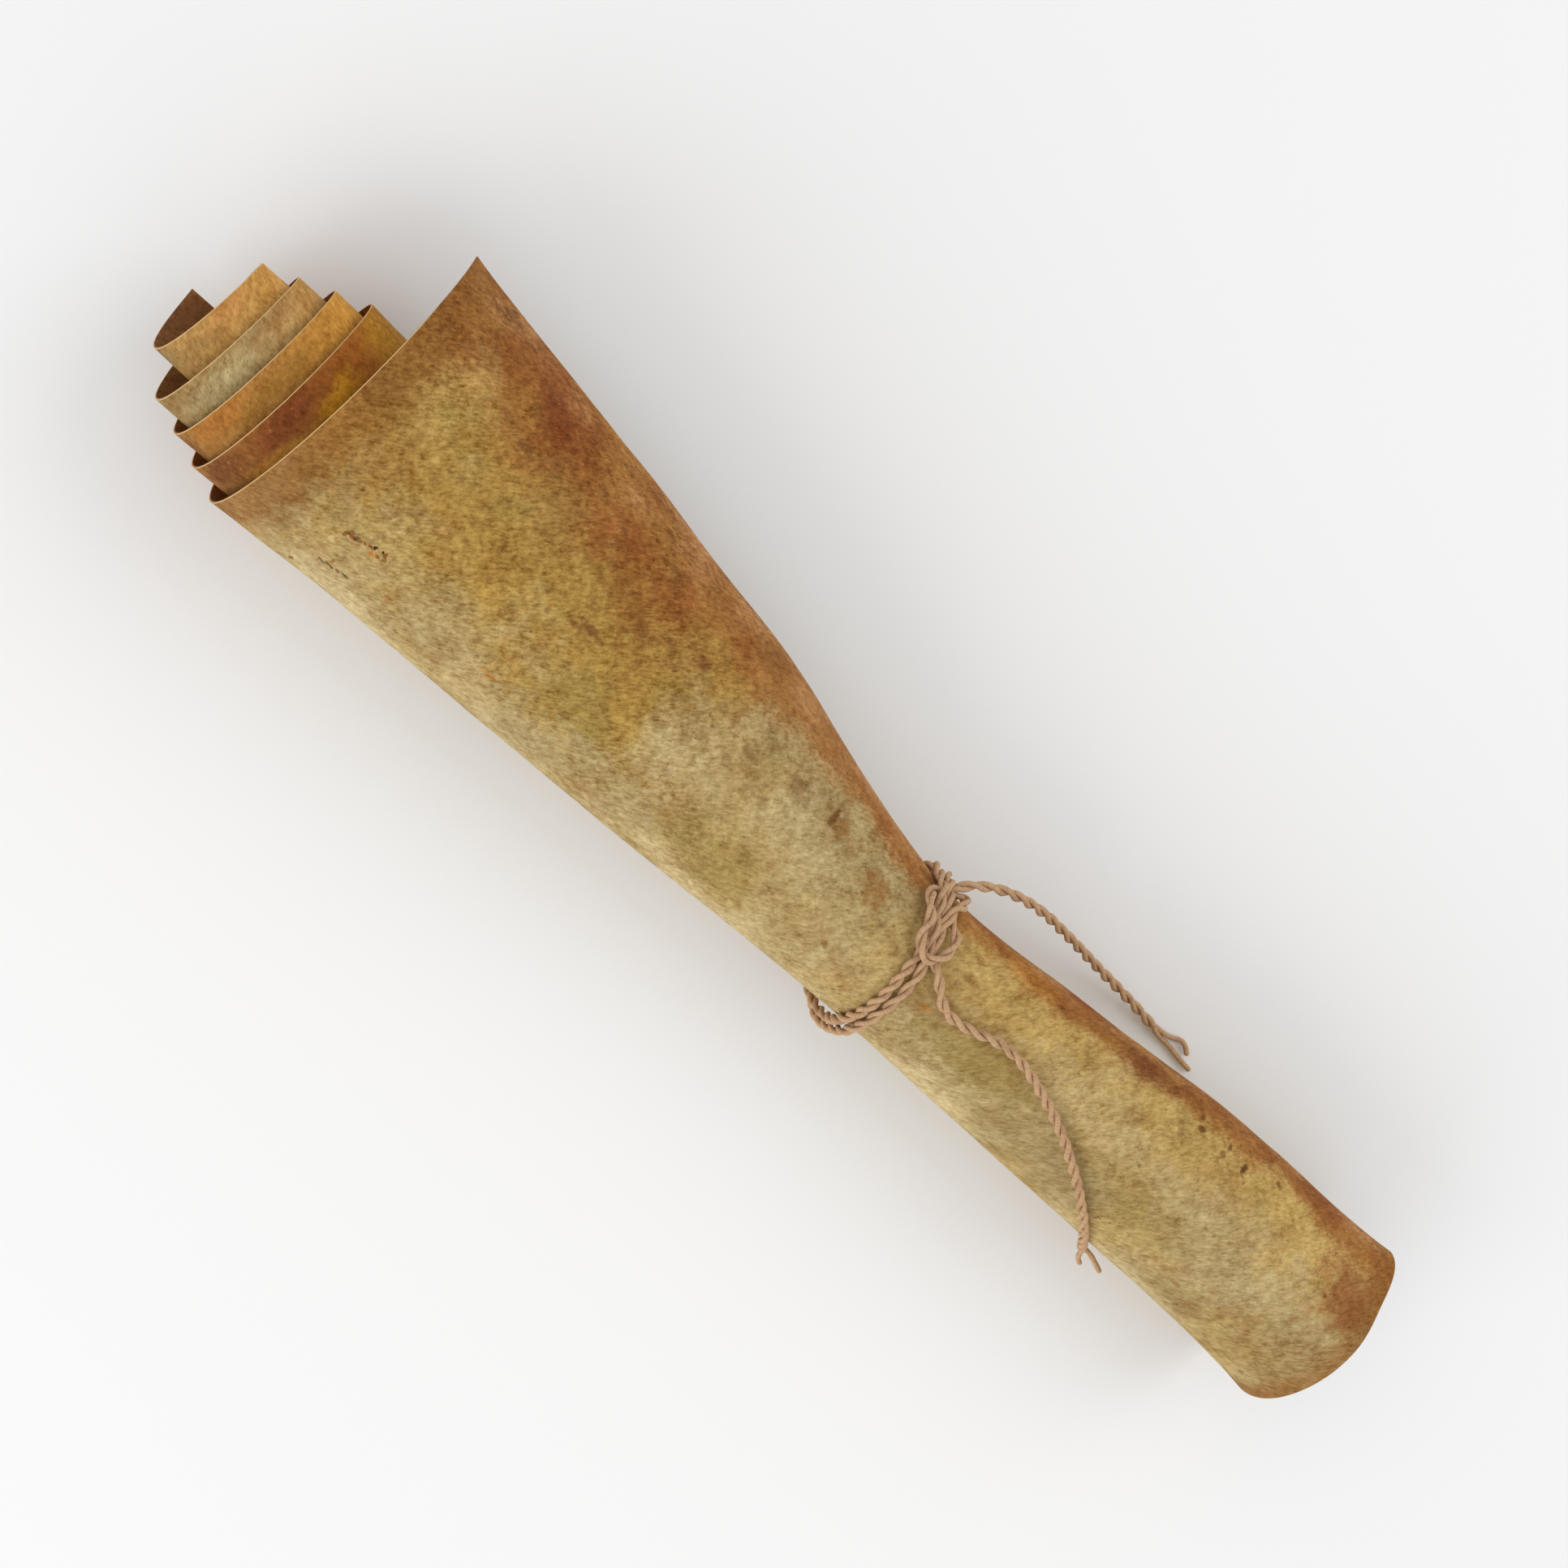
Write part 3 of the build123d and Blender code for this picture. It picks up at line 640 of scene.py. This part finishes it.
twine_fibre, fibre_surface = new_material("twine_fibre", specular=0.2)
place = Wash(twine_fibre.node_tree).node("Attribute", {"attribute_name": "ply_place"}, {}, out="Vector")
colour = place.node("RGB", {}, {})
colour.socket.default_value = tone(198, 160, 122)
wrinkles = place.cloud(0.0009, detail=3.0, stretch=(2.2, 0.5, 1.0), at=2.0)
colour = colour.tint(tone(166, 130, 98), wrinkles.soft(0.45, 0.72) * 0.8)
colour = colour.tint(tone(160, 122, 92), place.cloud(0.006, at=5.0).soft(0.46, 0.70) * 0.6)
finish_surface(
    fibre_surface, colour, wrinkles * 0.1 + 0.75,
    wrinkles + place.cloud(0.0004, stretch=(0.3, 1.0, 1.0), at=3.0) * 0.5, strength=0.5, distance=0.00015)

# Routes on the roll: mm along it, degrees round it from the free edge, mm off the paper. A twist's pitch, in
# mm, is given at places along the twine.
WAIST_ROUTE = (
    (158.6, 2, 1.4), (159.2, 20, 1.6), (159.4, 29, 2.4), (159.8, 38, 3.4), (160.4, 48, 2.8),
    (161.6, 57.5, 2.4), (163.0, 65, 2.3), (164.2, 73, 1.6), (165.6, 82, 1.35), (166.2, 94, 1.35),
    (166.5, 108, 1.35), (166.6, 120, 1.35), (166.7, 133, 1.4), (166.9, 147, 1.8), (166.8, 163, 2.4),
    (166.4, 179, 3.1), (165.6, 192, 4.3), (164.4, 206, 5.6), (163.2, 220, 6.0), (162.4, 235, 5.0),
    (162.0, 250, 3.6), (161.8, 266, 2.5), (161.8, 284, 1.8), (161.9, 303, 1.5), (162.0, 322, 1.4),
    (162.0, 340, 1.5), (161.6, 356, 1.8), (161.2, 370, 2.0), (161.0, 377, 2.3), (161.3, 383, 2.7),
    (161.3, 391, 3.1), (161.6, 399, 3.3), (162.6, 405, 2.8), (162.7, 411, 2.2), (162.9, 417, 1.7),
    (162.6, 426, 1.35), (163.1, 434, 1.35), (163.2, 443, 1.35), (163.2, 453, 1.35), (163.5, 464, 1.35),
    (164.0, 476, 1.35), (164.1, 488, 1.35), (164.1, 500, 1.4), (163.9, 513, 1.5), (164.2, 527, 1.6),
    (164.2, 540, 1.8), (163.6, 552, 2.5), (162.2, 567, 4.0), (160.4, 581, 4.9), (159.4, 596, 4.2),
    (159.0, 611, 3.1), (158.8, 627, 2.2), (158.6, 645, 1.7), (158.4, 664, 1.45), (158.0, 683, 1.4),
    (158.6, 701, 1.4), (158.6, 715, 1.4),
)
WAIST_PITCH = (
    (0, 11), (20, 10), (30, 9.6), (45, 9.4), (55, 7.2), (75, 7), (95, 8), (104, 11), (124, 10), (134, 9.6),
    (149, 9.4), (160, 7.2), (180, 7), (200, 8), (209, 11))
waist_line = laid([on_roll(*point) for point in WAIST_ROUTE], closed=True)
waist_plies = twist(waist_line, WAIST_PITCH, closed=True)
waist_turns = ply_tubes("twine_waist_turns", waist_plies, seed=21, closed=True)
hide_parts("twine_turn_mouth_side", "twine_turn_foot_side")

# The knot and the tails: one end of the twine makes a bight round the turns and falls away past the roll to
# the floor, the other comes up through the bight, doubles back and hangs down the near side. Their plies part
# at the tips. Routes off the roll are in the roll's own x, y and z.
BIGHT = (
    (163.8, 40, 1.3), (164.9, 46.5, 1.6), (166.9, 53, 2.4), (168.0, 60, 2.8), (167.8, 67, 3.0),
    (166.5, 74, 3.3), (165.0, 78.5, 3.5), (163.0, 79, 3.5), (161.3, 76, 3.3), (160.2, 70.5, 3.1),
    (160.0, 65, 3.1), (159.8, 60, 3.4), (158.7, 55, 3.4), (157.5, 49.5, 2.9), (157.3, 43.5, 2.4),
    (158.4, 38.5, 1.6), (160.2, 35.5, 1.2), (161.8, 30.5, 1.3),
)
FLOOR_TAIL = (
    (162.5, 16.4, 30.8), (165.1, 19.4, 30.2), (168.6, 21.6, 28.8), (173.7, 23.8, 26.4),
    (180.0, 25.2, 23.0), (186.4, 25.9, 19.2), (193.8, 25.8, 14.8), (201.5, 25.6, 10.6),
    (208.8, 25.3, 7.0), (215.9, 25.1, 4.2), (222.8, 24.8, 2.4), (228.4, 24.3, 1.5), (233.6, 23.9, 1.3),
)
FLOOR_TIPS = (
    ((235.6, 25.2, 0.9), (237.3, 26.2, 0.8), (239.4, 25.9, 0.8), (241.1, 24.4, 0.8)),
    ((237.0, 23.3, 0.8), (240.5, 22.7, 0.8), (244.1, 22.4, 0.8)),
)
COME_UP = (
    (163.2, 28.5, 1.3), (164.3, 25.5, 1.7), (166.0, 22.0, 2.3), (166.9, 26.0, 2.6), (165.9, 34.7, 2.9),
    (164.2, 42.5, 3.2), (163.7, 50, 3.0), (163.8, 58, 2.4), (164.4, 66, 1.8), (165.8, 73, 1.3),
    (167.4, 77.5, 1.3),
)
FRONT_TAIL = (
    (169.6, 1.0, 41.0), (171.6, -1.2, 41.0), (176.1, -3.9, 40.8), (182.4, -3.1, 41.0),
    (189.5, -0.5, 41.2), (197.0, -0.8, 41.6), (207.2, -3.8, 41.8), (216.0, -7.4, 41.0),
    (225.4, -12.3, 38.8), (233.9, -17.4, 34.8), (239.0, -20.6, 29.8), (242.6, -22.0, 23.6),
    (244.6, -22.3, 20.0),
)
FRONT_TIPS = (
    ((246.0, -23.4, 17.5), (248.0, -25.0, 14.5), (250.2, -25.5, 12.6)),
    ((247.0, -22.0, 17.5), (251.0, -22.8, 14.6), (255.2, -24.1, 12.6)),
)
FLOOR_PITCH = ((0, 11), (38, 10.5), (48, 9.4), (130, 8.0))
FRONT_PITCH = ((0, 11), (26, 10), (36, 8), (60, 6.8), (130, 6.4))
KNOT_OVERLAP, PARTING, PARTING_LEAD, TAIL_PLACES = 3, 8, 4, 160
tails = []
for knot_route, tail_route, tips, pitch in (
        (BIGHT, FLOOR_TAIL, FLOOR_TIPS, FLOOR_PITCH), (COME_UP, FRONT_TAIL, FRONT_TIPS, FRONT_PITCH)):
    in_knot = [on_roll(*point) for point in knot_route]
    line = laid(in_knot + [np.array(point) + ROLL_TO_ROW for point in tail_route])
    knot_end = (in_knot[-1] + np.array(tail_route[0]) + ROLL_TO_ROW) / 2
    lines = twist(line, pitch)
    cut = int(np.argmin(np.linalg.norm((lines[0] + lines[1]) / 2 - knot_end, axis=1)))
    tail_lines = []
    for ply, tip in zip(lines, tips):
        held = ply[cut:-PARTING]
        parted = laid([held[-1], ply[-PARTING_LEAD]] + [np.array(point) + ROLL_TO_ROW for point in tip])
        tail_lines.append(evenly(np.concatenate((held, parted[1:])))[0])
    tails.append(([ply[:cut + KNOT_OVERLAP] for ply in lines], tail_lines))
knot_lines = [ply for in_knot, _ in tails for ply in in_knot]
knot = ply_tubes("twine_knot_strands", knot_lines, seed=31)
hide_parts("twine_knot")

for name, node, lay, seed, (_, tail_lines) in (
        ("twine_tail_beside", "twine_tail_floor", "loose", 41, tails[0]),
        ("twine_tail_over", "twine_tail_front", "hanging", 51, tails[1])):
    tail = ply_tubes(name, tail_lines, seed=seed)
    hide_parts(node)
    middle = sum(evenly(ply, count=TAIL_PLACES)[0] for ply in tail_lines) / 2 / 1000
    length = float(np.linalg.norm(np.diff(middle, axis=0), axis=1).sum())

# The studio: a pale floor, one large soft lamp from the near left, a weaker one from behind, and even light
# from all round. The camera stands nearly over the roll, as the photographer did.
FLOOR_REACH, FLOOR_LEVEL = 3, -0.0004
floor_corners = [
    (across * FLOOR_REACH, deep * FLOOR_REACH, FLOOR_LEVEL)
    for across, deep in ((-1, -1), (1, -1), (1, 1), (-1, 1))]
floor_mesh = bpy.data.meshes.new("floor")
floor_mesh.from_pydata(floor_corners, [], [(0, 1, 2, 3)])
floor = bpy.data.objects.new("floor", floor_mesh)
bpy.context.scene.collection.objects.link(floor)
floor_paint, floor_surface = new_material("floor_paint", specular=0.0)
floor_surface.inputs["Base Color"].default_value = tone(246, 246, 246)
floor_surface.inputs["Roughness"].default_value = 0.9
floor_mesh.materials.append(floor_paint)


def softbox(name, place, aim, size, power):
    lamp = bpy.data.lights.new(name, "AREA")
    lamp.shape, lamp.size, lamp.energy = "DISK", size, power
    box = bpy.data.objects.new(name, lamp)
    box.location = place
    towards = np.array(aim) - np.array(place)
    back = -towards / np.linalg.norm(towards)
    right = np.cross((0, 0, 1), back)
    right /= np.linalg.norm(right)
    box.rotation_euler = Matrix(np.stack((right, np.cross(back, right), back), axis=1).tolist()).to_euler()
    bpy.context.scene.collection.objects.link(box)


softbox("lamp_near_left", (-0.35, -1.25, 0.70), (0, 0, 0), size=1.2, power=8.5)
softbox("lamp_behind", (0.5, 1.0, 1.1), (0, 0, 0), size=1.2, power=5.0)
world = bpy.data.worlds.new("studio")
world.use_nodes = True
world.node_tree.nodes["Background"].inputs["Color"].default_value = (1.0, 1.0, 1.0, 1.0)
world.node_tree.nodes["Background"].inputs["Strength"].default_value = 0.72
bpy.context.scene.world = world

camera_data = bpy.data.cameras.new("camera")
camera_data.sensor_width, camera_data.lens = 36.0, 78.26
camera = bpy.data.objects.new("camera", camera_data)
bpy.context.scene.collection.objects.link(camera)
CAMERA_RIGHT, CAMERA_UP = (0.70904, 0.67239, 0.21251), (-0.64413, 0.74017, -0.19298)
CAMERA_BACK, CAMERA_PLACE = (-0.28701, 0.0, 0.95793), (-0.213916, -0.000873, 0.698945)
turned = Matrix((CAMERA_RIGHT, CAMERA_UP, CAMERA_BACK)).transposed()
camera.matrix_world = Matrix.Translation(CAMERA_PLACE) @ turned.to_4x4()
bpy.context.scene.camera = camera
bpy.context.scene.view_settings.view_transform = "Standard"
